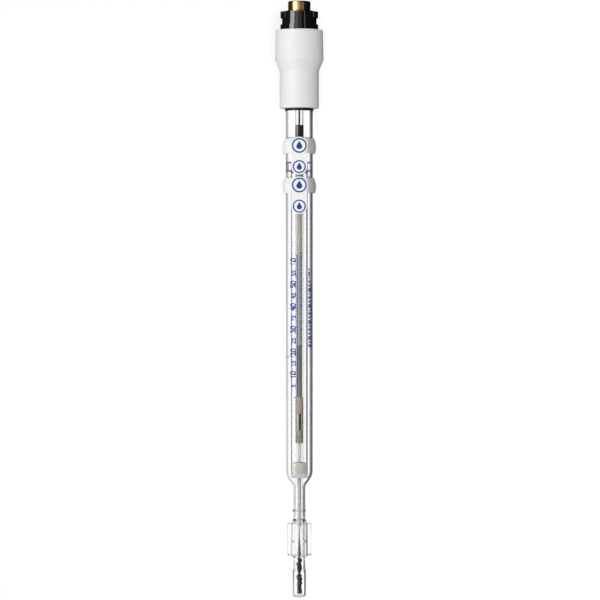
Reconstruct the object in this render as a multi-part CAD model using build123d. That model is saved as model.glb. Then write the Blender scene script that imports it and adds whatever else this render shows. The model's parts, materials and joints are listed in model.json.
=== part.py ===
from build123d import *
import os
from math import atan2, cos, degrees, radians, sin, sqrt

# A combined glass pH electrode with a plug-in head, two refillable chambers and a ground glass junction.
# It is modelled upright and laid on its side at the end. Upright, Z is the electrode's own axis: it is 0 at
# the tip and grows towards the head, and both filling ports face -Y. All lengths are in millimetres.

# Clearances
running_gap = 0.05  # silicone closure on the glass shaft, on the radius
ground_gap = 0.03  # ground glass sleeve on its cone, on the radius
core_gap = 0.4  # lead and its screen in the bore of the stem tube, on the radius
cartridge_gap = 0.03  # cartridge, its plug and the splice in the same bore, on the radius

# Tip, from the bottom up
membrane_length = 12.2
membrane_radius = 2.9
membrane_wall = 0.4
membrane_corner = 1.3
weld_radius = 3.05
weld_height = 0.7
tip_tube_length = 5.9

# Outer glass tube: ground cone, neck, shoulder and shaft
cone_length = 15.5
cone_bottom_radius = 3.5
cone_top_radius = 3.25
flare_length = 2.0
flare_hollow = 0.2  # share of the flare's widening that is left a third of the way up it
neck_length = 12.8
neck_radius = 2.65
neck_wall = 0.6
bead_above_flare = 2.8
bead_radius = 0.4
shoulder_length = 8.0
shoulder_upper_share = 0.65  # share of the shoulder's two radii that the upper, convex one takes
shaft_length = 160.7  # from the shoulder to the underside of the head
shaft_radius = 6.0
shaft_wall = 1.0
tube_in_head = 14.0
ring_seal_height = 1.2  # glass that closes the neck against the stem tube
outlet_diameter = 1.2
outlet_above_cone = 6.6

# Ground glass sleeve
sleeve_length = 14.3
sleeve_radius = 5.375
sleeve_above_cone = 0.4
sleeve_chamfer = 0.45

# Inner glass tube
inner_tube_radius = 3.8
inner_tube_wall = 0.4
inner_tube_drop = 1.5  # how far it reaches below the top of the shoulder
web_thickness = 0.7
web_spacing = 4.4  # over both webs of the ring seal

# Stem tube
stem_radius = 1.8
stem_wall = 0.2
stem_above_tube = 1.5

# Filling ports
port_diameter = 2.4
upper_port_below_head = 26.1
port_spacing = 17.5

# Silicone closures
closure_above_port = 6.0  # bottom of the ring over the middle of its port
closure_height = 6.7
closure_bottom_radius = 6.95
closure_bulge_radius = 7.4
closure_bulge_height = 2.7  # widest place of the ring, above its bottom
closure_top_radius = 6.5
tongue_width = 7.1
tongue_reach = 7.55  # from the axis to the flat of the tongue
pad_diameter = 7.8
pad_reach = 7.8  # from the axis to the flat of the ring's pad
pad_round = 0.3

# Junction plug at the foot of the inner tube
plug_length = 4.9
plug_disc_thickness = 1.8

# Core pieces in the stem tube, from the bottom up
element_foot = 1.3  # under the sensing element, over the outside of the tip
element_lower_length = 8.9
element_below_cone = 0.2  # from the top of the element up to the foot of the cone
element_radius = 1.25
element_lower_radius = 1.05
element_waist_radius = 0.45
upper_lobe_drop = 0.25  # widest place of the upper lobe, as a share of its length from its top
lower_lobe_drops = (0.35, 0.8)  # two places on the lower lobe, as shares of its length from its top
lower_lobe_waist = 0.75  # its radius at the upper one of them, as a share of its widest
element_foot_share = 0.4  # radius of its foot, as a share of its widest
cone_gap_length = 0.8
lead_cone_length = 8.0
lead_cone_radius = 0.85
element_wire_length = 4.4
element_wire_radius = 0.25
lead_rod_radius = 0.85
core_tube_length = 8.6
core_tube_radius = 0.7
core_tube_wall = 0.2
cartridge_plug_length = 5.8
cartridge_length = 7.4
splice_length = 7.3
screen_length = 23.1
core_top_below_port = 1.5
signal_lead_radius = 0.38
shrink_wall = 0.15
shrink_above_port = 4.0
shrink_length = 14.3

# Head
barrel_length = 16.7
barrel_radius = 8.7
taper_length = 4.9
crown_length = 13.2
crown_bottom_radius = 10.75
crown_draft = 0.25  # how much narrower the crown is at its top, on the radius
head_edge_round = 0.45
taper_round = 1.2
head_wall = 1.4
seal_radius = 6.35
seal_in_head = 3.0
seal_below_head = 1.1
tube_collar_length = 2.0  # plastic that grips the glass above the seal
potting_length = 12.5

# Connector
collar_height = 8.8
collar_radius = 7.67
collar_spigot_length = 5.0
collar_bore_radius = 4.4
flange_radius = 8.4
flange_height = 2.4
lug_height = 2.7
lug_drop = 0.7  # from the top of the collar to the top of a lug
lug_angle = 70.0
lug_groove = 0.35
lug_ridges = 3
lug_ridge_slope = 0.7  # half height of a groove's mouth beyond the lug, in pitches of the ridges
ring_radius = 4.95
ring_height = 4.0
ring_wall = 0.9
ring_edge_round = 0.5
ring_shank_length = 6.0
insulator_recess = 1.5
pin_radius = 1.5
pin_recess = 0.6
pin_round = 0.9
pin_length = 12.0
ring_lead_radius = 0.4
ring_lead_offset = 3.7

# Heights above the tip
cone_bottom = membrane_length + tip_tube_length
cone_top = cone_bottom + cone_length
flare_top = cone_top + flare_length
neck_top = flare_top + neck_length
shoulder_top = neck_top + shoulder_length
head_bottom = shoulder_top + shaft_length
tube_top = head_bottom + tube_in_head
stem_top = tube_top + stem_above_tube
element_waist = element_foot + element_lower_length
element_top = cone_bottom - element_below_cone
sleeve_bottom = cone_bottom + sleeve_above_cone
sleeve_top = sleeve_bottom + sleeve_length
upper_port = head_bottom - upper_port_below_head
lower_port = upper_port - port_spacing
inner_tube_bottom = shoulder_top - inner_tube_drop
web_top = upper_port + web_spacing / 2
plug_top = inner_tube_bottom + plug_length
barrel_top = head_bottom + barrel_length
taper_top = barrel_top + taper_length
head_top = taper_top + crown_length
collar_top = head_top + collar_height
ring_top = collar_top + ring_height
grip_bottom = head_bottom + seal_in_head
grip_top = grip_bottom + tube_collar_length
pin_top = ring_top - pin_recess
pin_bottom = pin_top - pin_length

# Radii that follow from the walls
shaft_bore = shaft_radius - shaft_wall
neck_bore = neck_radius - neck_wall
stem_bore = stem_radius - stem_wall
inner_bore = inner_tube_radius - inner_tube_wall
core_radius = stem_bore - core_gap
cartridge_radius = stem_bore - cartridge_gap
grip_radius = shaft_radius + running_gap
barrel_bore = barrel_radius - head_wall
crown_top_radius = crown_bottom_radius - crown_draft
crown_bore = crown_top_radius - head_wall
ring_bore = ring_radius - ring_wall


def turned(*lines):
    """The solid that an outline of lines, in the half plane of radius and height, sweeps around Z."""
    return revolve(make_face(Wire(lines)), Axis.Z)


def path(*points):
    """Straight lines through points given as radius and height."""
    return Polyline(*[(radius, 0, height) for radius, height in points])


def turned_path(*points):
    """A turned solid whose outline has straight sides only."""
    return turned(*path(*points, points[0]).edges())


def tube(outer, inner, bottom, top):
    """A straight tube around Z."""
    return turned_path((inner, bottom), (outer, bottom), (outer, top), (inner, top))


def rod(radius, bottom, top):
    """A straight rod on Z."""
    return turned_path((0, bottom), (radius, bottom), (radius, top), (0, top))


def arc(start, middle, end):
    """An arc through three points given as radius and height."""
    return ThreePointArc(*[(radius, 0, height) for radius, height in (start, middle, end)])


def s_curve(top_radius, bottom_radius):
    """Two tangent arcs down the shoulder, upright at both ends, with the convex one on top."""
    narrowing = top_radius - bottom_radius
    both = (narrowing**2 + shoulder_length**2) / (2 * narrowing)
    upper = shoulder_upper_share * both
    lower = both - upper
    turn = atan2(shoulder_length / both, 1 - narrowing / both)

    def on_upper(angle):
        return top_radius - upper + upper * cos(angle), shoulder_top - upper * sin(angle)

    def on_lower(angle):
        return bottom_radius + lower - lower * cos(angle), neck_top + lower * sin(angle)

    return [
        arc(on_upper(0), on_upper(turn / 2), on_upper(turn)),
        arc(on_upper(turn), on_lower(turn / 2), on_lower(0)),
    ]


def radial_hole(radius, height, direction, reach=shaft_radius + 1):
    """A cutter for a round hole from the axis outwards, level with height."""
    return extrude(Plane((0, 0, height), z_dir=direction) * Circle(radius), reach)


def make_glass_body():
    """Outer tube, shoulder, neck and ground cone, blown as one piece and closed against the stem tube."""
    bead = flare_top + bead_above_flare
    flare_middle = (
        neck_radius + flare_hollow * (cone_top_radius - neck_radius),
        (cone_top + 2 * flare_top) / 3,
    )
    seal_bottom = cone_bottom - ring_seal_height / 2
    seal_top = seal_bottom + ring_seal_height
    outside = [
        *path((neck_bore, membrane_length), (neck_radius, membrane_length), (neck_radius, cone_bottom)).edges(),
        *path((neck_radius, cone_bottom), (cone_bottom_radius, cone_bottom)).edges(),
        *path((cone_bottom_radius, cone_bottom), (cone_top_radius, cone_top)).edges(),
        arc((cone_top_radius, cone_top), flare_middle, (neck_radius, flare_top)),
        *path((neck_radius, flare_top), (neck_radius, bead - bead_radius)).edges(),
        arc((neck_radius, bead - bead_radius), (neck_radius + bead_radius, bead), (neck_radius, bead + bead_radius)),
        *path((neck_radius, bead + bead_radius), (neck_radius, neck_top)).edges(),
        *s_curve(shaft_radius, neck_radius),
        *path((shaft_radius, shoulder_top), (shaft_radius, tube_top), (shaft_bore, tube_top)).edges(),
    ]
    inside = [
        *path((shaft_bore, tube_top), (shaft_bore, shoulder_top)).edges(),
        *s_curve(shaft_bore, neck_bore),
        *path(
            (neck_bore, neck_top),
            (neck_bore, seal_top),
            (stem_radius, seal_top),
            (stem_radius, seal_bottom),
            (neck_bore, seal_bottom),
            (neck_bore, membrane_length),
        ).edges(),
    ]
    body = turned(*outside, *inside)
    for height in (upper_port, lower_port):
        body -= radial_hole(port_diameter / 2, height, (0, -1, 0))
    for side in (-1, 1):
        body -= radial_hole(outlet_diameter / 2, cone_bottom + outlet_above_cone, (side, 0, 0))
    return body


def make_membrane_tip():
    """Closed tube of pH-sensitive glass, with the bead where it is welded to the tip tube."""
    bore = membrane_radius - membrane_wall
    inner_corner = membrane_corner - membrane_wall
    weld_middle = membrane_length - weld_height / 2
    diagonal = 1 - sqrt(0.5)
    return turned(
        *path((0, 0), (membrane_radius - membrane_corner, 0)).edges(),
        arc(
            (membrane_radius - membrane_corner, 0),
            (membrane_radius - diagonal * membrane_corner, diagonal * membrane_corner),
            (membrane_radius, membrane_corner),
        ),
        *path((membrane_radius, membrane_corner), (membrane_radius, membrane_length - weld_height)).edges(),
        arc(
            (membrane_radius, membrane_length - weld_height),
            (weld_radius, weld_middle),
            (neck_radius, membrane_length),
        ),
        *path((neck_radius, membrane_length), (bore, membrane_length), (bore, membrane_corner)).edges(),
        arc(
            (bore, membrane_corner),
            (bore - diagonal * inner_corner, membrane_wall + diagonal * inner_corner),
            (bore - inner_corner, membrane_wall),
        ),
        *path((bore - inner_corner, membrane_wall), (0, membrane_wall), (0, 0)).edges(),
    )


def make_ground_sleeve():
    """Thick glass sleeve whose ground bore seats on the cone and covers the electrolyte outlets."""
    slope = (cone_bottom_radius - cone_top_radius) / cone_length
    bottom_bore = cone_bottom_radius + ground_gap - slope * sleeve_above_cone
    top_bore = bottom_bore - slope * sleeve_length
    return turned_path(
        (bottom_bore, sleeve_bottom),
        (sleeve_radius - sleeve_chamfer, sleeve_bottom),
        (sleeve_radius, sleeve_bottom + sleeve_chamfer),
        (sleeve_radius, sleeve_top - sleeve_chamfer / 3),
        (sleeve_radius - sleeve_chamfer / 3, sleeve_top),
        (top_bore, sleeve_top),
    )


def make_inner_tube():
    """Inner chamber's tube, with the two webs of the ring seal that hold it in the outer tube."""
    lower_web = web_top - web_spacing
    inner = turned_path(
        (inner_bore, inner_tube_bottom),
        (inner_tube_radius, inner_tube_bottom),
        (inner_tube_radius, lower_web),
        (shaft_bore, lower_web),
        (shaft_bore, lower_web + web_thickness),
        (inner_tube_radius, lower_web + web_thickness),
        (inner_tube_radius, web_top - web_thickness),
        (shaft_bore, web_top - web_thickness),
        (shaft_bore, web_top),
        (stem_radius, web_top),
        (stem_radius, web_top - web_thickness),
        (inner_bore, web_top - web_thickness),
    )
    return inner - radial_hole(port_diameter / 2, upper_port, (0, -1, 0))


def make_closure(port):
    """Silicone ring around the shaft, with a pad in front and a tongue that lies over the port below it."""
    bottom = port + closure_above_port
    top = bottom + closure_height
    middle = (bottom + top) / 2
    ring = turned(
        *path((grip_radius, top), (grip_radius, bottom), (closure_bottom_radius, bottom)).edges(),
        arc(
            (closure_bottom_radius, bottom),
            (closure_bulge_radius, bottom + closure_bulge_height),
            (closure_top_radius, top),
        ),
        *path((closure_top_radius, top), (grip_radius, top)).edges(),
    )
    front = Plane((0, 0, 0), x_dir=(1, 0, 0), z_dir=(0, -1, 0))
    tongue_outline = Pos(0, port) * Circle(tongue_width / 2)
    tongue_outline += Pos(0, (port + middle) / 2) * Rectangle(tongue_width, middle - port)
    tongue = extrude(front * tongue_outline, tongue_reach)
    tongue = fillet(tongue.edges().group_by(Axis.Y)[0], pad_round)
    ring_pad = extrude(front * Pos(0, middle) * Circle(pad_diameter / 2), pad_reach)
    ring_pad = fillet(ring_pad.edges().sort_by(Axis.Y)[0], pad_round)
    bore = rod(grip_radius, port - tongue_width, top + tongue_width)
    return ring + (tongue + ring_pad - bore)


def make_sensing_element():
    """Two rough lobes of silver chloride on the wire, one above the other."""
    upper_lobe = Spline(
        (element_wire_radius, 0, element_top),
        (element_radius, 0, element_top - upper_lobe_drop * (element_top - element_waist)),
        (element_waist_radius, 0, element_waist),
        tangents=[(1, 0, 0), (-0.2, 0, -1)],
    )
    first_drop, second_drop = lower_lobe_drops
    foot_radius = element_foot_share * element_lower_radius
    lower_lobe = Spline(
        (element_waist_radius, 0, element_waist),
        (lower_lobe_waist * element_lower_radius, 0, element_waist - first_drop * element_lower_length),
        (element_lower_radius, 0, element_waist - second_drop * element_lower_length),
        (foot_radius, 0, element_foot),
        tangents=[(0.5, 0, -1), (-1, 0, -0.2)],
    )
    return turned(
        *path((0, element_top), (element_wire_radius, element_top)).edges(),
        upper_lobe,
        lower_lobe,
        *path((foot_radius, element_foot), (0, element_foot), (0, element_top)).edges(),
    )


def make_core():
    """The pieces stacked in the stem tube, each standing on the one below, as a table of name to solid."""
    cone_foot = element_top + cone_gap_length
    wire_foot = cone_foot + lead_cone_length
    rod_foot = wire_foot + element_wire_length
    core = {
        "sensing_element": make_sensing_element(),
        "element_wire": turned_path(
            (0, element_top),
            (element_wire_radius, element_top),
            (element_wire_radius, cone_foot),
            (lead_cone_radius, cone_foot),
            (element_wire_radius, wire_foot),
            (element_wire_radius, rod_foot),
            (0, rod_foot),
        ),
        "lead_rod": rod(lead_rod_radius, rod_foot, plug_top),
        "core_tube": tube(core_tube_radius, core_tube_radius - core_tube_wall, plug_top, plug_top + core_tube_length),
        "core_filling": rod(core_tube_radius - core_tube_wall, plug_top, plug_top + core_tube_length),
    }
    height = plug_top + core_tube_length
    stack = {
        "cartridge_plug": (cartridge_plug_length, cartridge_radius),
        "reference_cartridge": (cartridge_length, cartridge_radius),
        "splice_sleeve": (splice_length, cartridge_radius),
        "core_screen": (screen_length, core_radius),
    }
    for name, (length, radius) in stack.items():
        core[name] = rod(radius, height, height + length)
        height += length
    core_top = upper_port - core_top_below_port
    core["core_insulation"] = rod(core_radius, height, core_top)
    core["signal_lead"] = rod(signal_lead_radius, core_top, pin_bottom)
    return core


def make_head_shell():
    """Moulded head: a barrel, a taper and a wider crown, open on top for the connector's collar."""
    outside = FilletPolyline(
        (seal_radius, 0, head_bottom),
        (barrel_radius, 0, head_bottom),
        (barrel_radius, 0, barrel_top),
        (crown_bottom_radius, 0, taper_top),
        (crown_top_radius, 0, head_top),
        (crown_bore, 0, head_top),
        radius=[head_edge_round, taper_round, taper_round, head_edge_round],
    )
    inside = path(
        (crown_bore, head_top),
        (crown_bore, taper_top + head_wall),
        (barrel_bore, barrel_top + head_wall),
        (barrel_bore, grip_top),
        (shaft_radius, grip_top),
        (shaft_radius, grip_bottom),
        (seal_radius, grip_bottom),
        (seal_radius, head_bottom),
    )
    return turned(*outside.edges(), *inside.edges())


def make_head_potting():
    """Resin that holds the glass in the barrel and closes the tubes, cast around their ends."""
    potting_top = grip_top + potting_length
    return turned_path(
        (shaft_radius, grip_top),
        (barrel_bore, grip_top),
        (barrel_bore, potting_top),
        (signal_lead_radius, potting_top),
        (signal_lead_radius, stem_top),
        (stem_radius, stem_top),
        (stem_radius, tube_top),
        (shaft_radius, tube_top),
    )


def make_connector_collar():
    """Black collar with a spigot in the head, a flange and a pair of ridged side lugs for the cable's plug."""
    body = turned_path(
        (collar_bore_radius, head_top - collar_spigot_length),
        (crown_bore, head_top - collar_spigot_length),
        (crown_bore, head_top),
        (flange_radius, head_top),
        (flange_radius, head_top + flange_height),
        (collar_radius, head_top + flange_height),
        (collar_radius, collar_top - lug_drop),
        (ring_radius, collar_top),
        (collar_bore_radius, collar_top),
    )
    lug_top = collar_top - lug_drop
    lug_ring = tube(flange_radius, collar_radius - 1, lug_top - lug_height, lug_top)
    pitch = lug_height / lug_ridges
    for ridge in range(1, lug_ridges):
        groove = lug_top - ridge * pitch
        lug_ring -= turned_path(
            (flange_radius - lug_groove, groove),
            (flange_radius + 1, groove - lug_ridge_slope * pitch),
            (flange_radius + 1, groove + lug_ridge_slope * pitch),
        )
    half_width = flange_radius * sin(radians(lug_angle / 2))
    lug_window = Pos(0, 0, lug_top - lug_height / 2) * Box(4 * flange_radius, 2 * half_width, lug_height)
    return body + (lug_ring & lug_window)


def make_contact_ring():
    """Brass ring on top of the collar, with a shank down its bore."""
    shank_bottom = collar_top - ring_shank_length
    ring = turned_path(
        (ring_bore, shank_bottom),
        (collar_bore_radius, shank_bottom),
        (collar_bore_radius, collar_top),
        (ring_radius, collar_top),
        (ring_radius, ring_top),
        (ring_bore, ring_top),
    )
    top_edges = ring.edges().filter_by(GeomType.CIRCLE).group_by(Axis.Z)[-1]
    rim = [e for e in top_edges if abs(e.radius - ring_radius) < 0.001]
    return fillet(rim, ring_edge_round)


def make_centre_contact():
    """Centre contact with a domed top, just below the rim of the ring."""
    pin = rod(pin_radius, pin_bottom, pin_top)
    rim = pin.edges().filter_by(GeomType.CIRCLE).group_by(Axis.Z)[-1]
    return fillet(rim, pin_round)


def make_parts():
    """Every piece of the upright electrode, as a table of node name to solid."""
    insulator_bottom = collar_top - ring_shank_length
    parts = {
        "glass_body": make_glass_body(),
        "membrane_tip": make_membrane_tip(),
        "ground_sleeve": make_ground_sleeve(),
        "inner_tube": make_inner_tube(),
        "stem_tube": tube(stem_radius, stem_bore, cone_bottom - ring_seal_height / 2, stem_top),
        "upper_closure": make_closure(upper_port),
        "lower_closure": make_closure(lower_port),
        "junction_plug": tube(inner_bore, stem_radius, inner_tube_bottom, plug_top),
        "plug_disc": tube(
            inner_tube_radius, stem_radius, inner_tube_bottom - plug_disc_thickness, inner_tube_bottom
        ),
        "shrink_sleeve": tube(
            stem_radius + shrink_wall,
            stem_radius,
            upper_port + shrink_above_port,
            upper_port + shrink_above_port + shrink_length,
        ),
        "head_shell": make_head_shell(),
        "head_seal": tube(seal_radius, shaft_radius, head_bottom - seal_below_head, grip_bottom),
        "head_potting": make_head_potting(),
        "connector_collar": make_connector_collar(),
        "contact_ring": make_contact_ring(),
        "contact_insulator": tube(ring_bore, pin_radius, insulator_bottom, ring_top - insulator_recess),
        "centre_contact": make_centre_contact(),
        "ring_lead": Pos(0, ring_lead_offset, 0)
        * rod(ring_lead_radius, grip_top + potting_length, insulator_bottom),
    }
    parts.update(make_core())
    return parts


def lay_down(parts):
    """Turn the electrode onto its side, ports up and head towards +Y, resting on its crown and its sleeve."""
    lean = degrees(atan2(crown_bottom_radius - sleeve_radius, taper_top - sleeve_bottom - sleeve_chamfer))
    turn = Rot(X=lean - 90)
    box = Compound(children=[turn * part for part in parts.values()]).bounding_box()
    seat = Pos(-box.center().X, -box.center().Y, -box.min.Z)
    return seat * turn


parts = make_parts()
resting_place = lay_down(parts)
os.makedirs("parts", exist_ok=True)
for name, part in parts.items():
    export_step(resting_place * part, f"parts/{name}.step")
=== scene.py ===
import json
import math

import bpy
from mathutils import Matrix, Vector, noise


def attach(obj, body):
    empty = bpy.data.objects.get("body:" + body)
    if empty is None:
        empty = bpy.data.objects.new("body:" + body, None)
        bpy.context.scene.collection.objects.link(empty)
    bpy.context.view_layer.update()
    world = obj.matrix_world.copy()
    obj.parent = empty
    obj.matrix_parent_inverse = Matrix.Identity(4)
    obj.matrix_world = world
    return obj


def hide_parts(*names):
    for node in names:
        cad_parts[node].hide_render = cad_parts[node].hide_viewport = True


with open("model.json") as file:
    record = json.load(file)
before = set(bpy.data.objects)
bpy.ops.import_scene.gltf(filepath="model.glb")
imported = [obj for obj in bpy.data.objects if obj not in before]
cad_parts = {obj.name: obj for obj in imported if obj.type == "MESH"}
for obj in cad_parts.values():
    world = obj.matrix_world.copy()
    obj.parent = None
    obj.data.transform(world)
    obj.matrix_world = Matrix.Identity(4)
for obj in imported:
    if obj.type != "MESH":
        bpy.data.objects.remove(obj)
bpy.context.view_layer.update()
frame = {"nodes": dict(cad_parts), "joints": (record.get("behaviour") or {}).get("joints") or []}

nodes = frame["nodes"]

# The electrode's own axes. Upright, its height is 0 at the tip and grows towards the head, X is to the right
# of the ports and -Y points out of them. It lies with that axis leaning a little on the floor.
MM = 0.001
turning = next(joint for joint in frame["joints"] if joint["name"] == "upper_closure_turn")
axis = Vector(turning["axis"]).normalized()
across = Vector((1, 0, 0))
behind = axis.cross(across)
on_axis = Vector(turning["pos_m"])
lowest = min((v.co - on_axis).dot(axis) for v in nodes["membrane_tip"].data.vertices)
tip = on_axis + axis * lowest
rest = Matrix.Translation(tip) @ Matrix((across, behind, axis)).transposed().to_4x4()

# The photograph's frame, 600 pixels square
PHOTO_PIXELS = 600
SHAFT_PIXELS = 27
SHAFT_DIAMETER = 12 * MM
TIP_ROW = 597
AXIS_COLUMN = 299.3
PIXEL = SHAFT_DIAMETER / SHAFT_PIXELS
CAMERA_DISTANCE = 1.5
SENSOR_WIDTH = 36


def reach(name):
    """A node's lowest and highest height above the tip and its greatest distance from the axis, in metres."""
    upright = rest.inverted()
    points = [upright @ v.co for v in nodes[name].data.vertices]
    heights = [point.z for point in points]
    return min(heights), max(heights), max(math.hypot(point.x, point.y) for point in points)


# Sizes of the glass that the pieces below share, in mm. Heights are above the tip.
CONE_BOTTOM = 18.1
CONE_TOP = 33.6
CONE_BOTTOM_RADIUS = 3.5
CONE_TOP_RADIUS = 3.25
FLARE_TOP = 35.6
SLEEVE_BOTTOM = 18.5
SLEEVE_TOP = 32.8
NECK_TOP = 48.4
NECK_RADIUS = 2.65
NECK_BORE = 2.05
SHOULDER_TOP = 56.4
SHAFT_RADIUS = 6.0
SHAFT_BORE = 5.2  # a little wider than the solid's, so that its wall shows as thin as the real one's
STEM_RADIUS = 1.8
STEM_BORE = 1.6
INNER_RADIUS = 3.8
INNER_BORE = 3.4
UPPER_PORT = 191.0
LOWER_PORT = 173.5
PORT_RADIUS = 1.2
FUSED = 0.01  # how far glass that is melted to other glass reaches into it, and the least inset used elsewhere


# Shader helpers

def add(tree, kind, settings=(), **inputs):
    """A new shader node, with its settings and its unlinked inputs given by name."""
    node = tree.nodes.new(kind)
    for name, value in dict(settings).items():
        setattr(node, name, value)
    for name, value in inputs.items():
        socket = node.inputs[name.replace("_", " ")]
        if isinstance(value, bpy.types.NodeSocket):
            tree.links.new(value, socket)
        else:
            socket.default_value = value
    return node


def math_node(tree, operation, *values):
    """The output of a Math node on two or three values or sockets."""
    node = tree.nodes.new("ShaderNodeMath")
    node.operation = operation
    for socket, value in zip(node.inputs, values):
        if isinstance(value, bpy.types.NodeSocket):
            tree.links.new(value, socket)
        else:
            socket.default_value = value
    return node.outputs[0]


def colour_mix(tree, share, first, second):
    """The output of a Mix node between two colours."""
    node = tree.nodes.new("ShaderNodeMix")
    node.data_type = "RGBA"
    for index, value in ((0, share), (6, first), (7, second)):
        if isinstance(value, bpy.types.NodeSocket):
            tree.links.new(value, node.inputs[index])
        else:
            node.inputs[index].default_value = value
    return node.outputs[2]


def rgba(grey_or_colour):
    """A colour with full alpha from one grey value or from three."""
    if isinstance(grey_or_colour, (int, float)):
        return (grey_or_colour, grey_or_colour, grey_or_colour, 1)
    return (*grey_or_colour, 1)


def new_group(name, inputs, outputs):
    """An empty shader node group with float inputs (name to default) and outputs, and its two end nodes."""
    tree = bpy.data.node_groups.new(name, "ShaderNodeTree")
    for socket_name, default in inputs.items():
        socket = tree.interface.new_socket(socket_name, in_out="INPUT", socket_type="NodeSocketFloat")
        socket.default_value = default
    for socket_name in outputs:
        tree.interface.new_socket(socket_name, in_out="OUTPUT", socket_type="NodeSocketFloat")
    return tree, tree.nodes.new("NodeGroupInput"), tree.nodes.new("NodeGroupOutput")


def make_place_group():
    """Where a point lies on the upright electrode: across, out in front and up the axis in mm, and its angle."""
    outputs = ("Across", "Front", "Height", "Angle", "Radius")
    tree, start, end = new_group("place_on_electrode", {"Per Metre": 1 / MM}, outputs)
    coordinates = add(tree, "ShaderNodeTexCoord")
    upright = add(tree, "ShaderNodeMapping", {"vector_type": "TEXTURE"}, Vector=coordinates.outputs["Object"])
    upright.inputs["Location"].default_value = tip
    upright.inputs["Rotation"].default_value = rest.to_euler()
    parts = add(tree, "ShaderNodeSeparateXYZ", Vector=upright.outputs["Vector"])
    scale = start.outputs["Per Metre"]
    x = math_node(tree, "MULTIPLY", parts.outputs["X"], scale)
    y = math_node(tree, "MULTIPLY", parts.outputs["Y"], scale)
    z = math_node(tree, "MULTIPLY", parts.outputs["Z"], scale)
    front = math_node(tree, "MULTIPLY", y, -1.0)
    tree.links.new(x, end.inputs["Across"])
    tree.links.new(front, end.inputs["Front"])
    tree.links.new(z, end.inputs["Height"])
    tree.links.new(math_node(tree, "ARCTAN2", x, front), end.inputs["Angle"])
    squares = math_node(tree, "ADD", math_node(tree, "MULTIPLY", x, x), math_node(tree, "MULTIPLY", y, y))
    tree.links.new(math_node(tree, "SQRT", squares), end.inputs["Radius"])
    return tree


def make_mottle_group():
    """Soft irregular patches between two values."""
    tree, start, end = new_group("mottle", {"Per Metre": 800.0, "Low": 0.3, "High": 0.5}, ("Value",))
    coordinates = add(tree, "ShaderNodeTexCoord")
    clouds = add(tree, "ShaderNodeTexNoise", Vector=coordinates.outputs["Object"],
                 Scale=start.outputs["Per Metre"], Detail=3.0)
    spread = add(tree, "ShaderNodeMapRange", Value=clouds.outputs["Fac"], From_Min=0.3, From_Max=0.7)
    tree.links.new(start.outputs["Low"], spread.inputs["To Min"])
    tree.links.new(start.outputs["High"], spread.inputs["To Max"])
    tree.links.new(spread.outputs["Result"], end.inputs["Value"])
    return tree


place_group = make_place_group()
mottle_group = make_mottle_group()


def place(tree):
    """The outputs of the group that tells where a point lies on the electrode."""
    return add(tree, "ShaderNodeGroup", {"node_tree": place_group}).outputs


def mottle(tree, per_metre, low, high):
    """A value that wanders between low and high."""
    node = add(tree, "ShaderNodeGroup", {"node_tree": mottle_group}, Per_Metre=per_metre, Low=low, High=high)
    return node.outputs["Value"]


def new_material(name, **inputs):
    """A material with one Principled shader, and that shader."""
    material = bpy.data.materials.new(name)
    material.use_nodes = True
    tree = material.node_tree
    tree.nodes.clear()
    output = tree.nodes.new("ShaderNodeOutputMaterial")
    shader = add(tree, "ShaderNodeBsdfPrincipled", **inputs)
    tree.links.new(shader.outputs[0], output.inputs["Surface"])
    return material, tree, shader, output


def bump(tree, shader, height, strength, distance):
    """Relief from a height value."""
    relief = add(tree, "ShaderNodeBump", Height=height, Strength=strength, Distance=distance)
    tree.links.new(relief.outputs["Normal"], shader.inputs["Normal"])


def ramp(tree, value, start, stop, low=0.0, high=1.0):
    """Low up to start, high from stop on, and a smooth step between."""
    step = add(tree, "ShaderNodeMapRange", {"interpolation_type": "SMOOTHSTEP"}, Value=value, From_Min=start,
               From_Max=stop, To_Min=low, To_Max=high)
    return step.outputs["Result"]


def between(tree, value, low, high, soft):
    """1 where a value lies between low and high, with soft ends."""
    rising = ramp(tree, value, low - soft, low + soft)
    falling = ramp(tree, value, high - soft, high + soft, 1.0, 0.0)
    return math_node(tree, "MULTIPLY", rising, falling)


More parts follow.
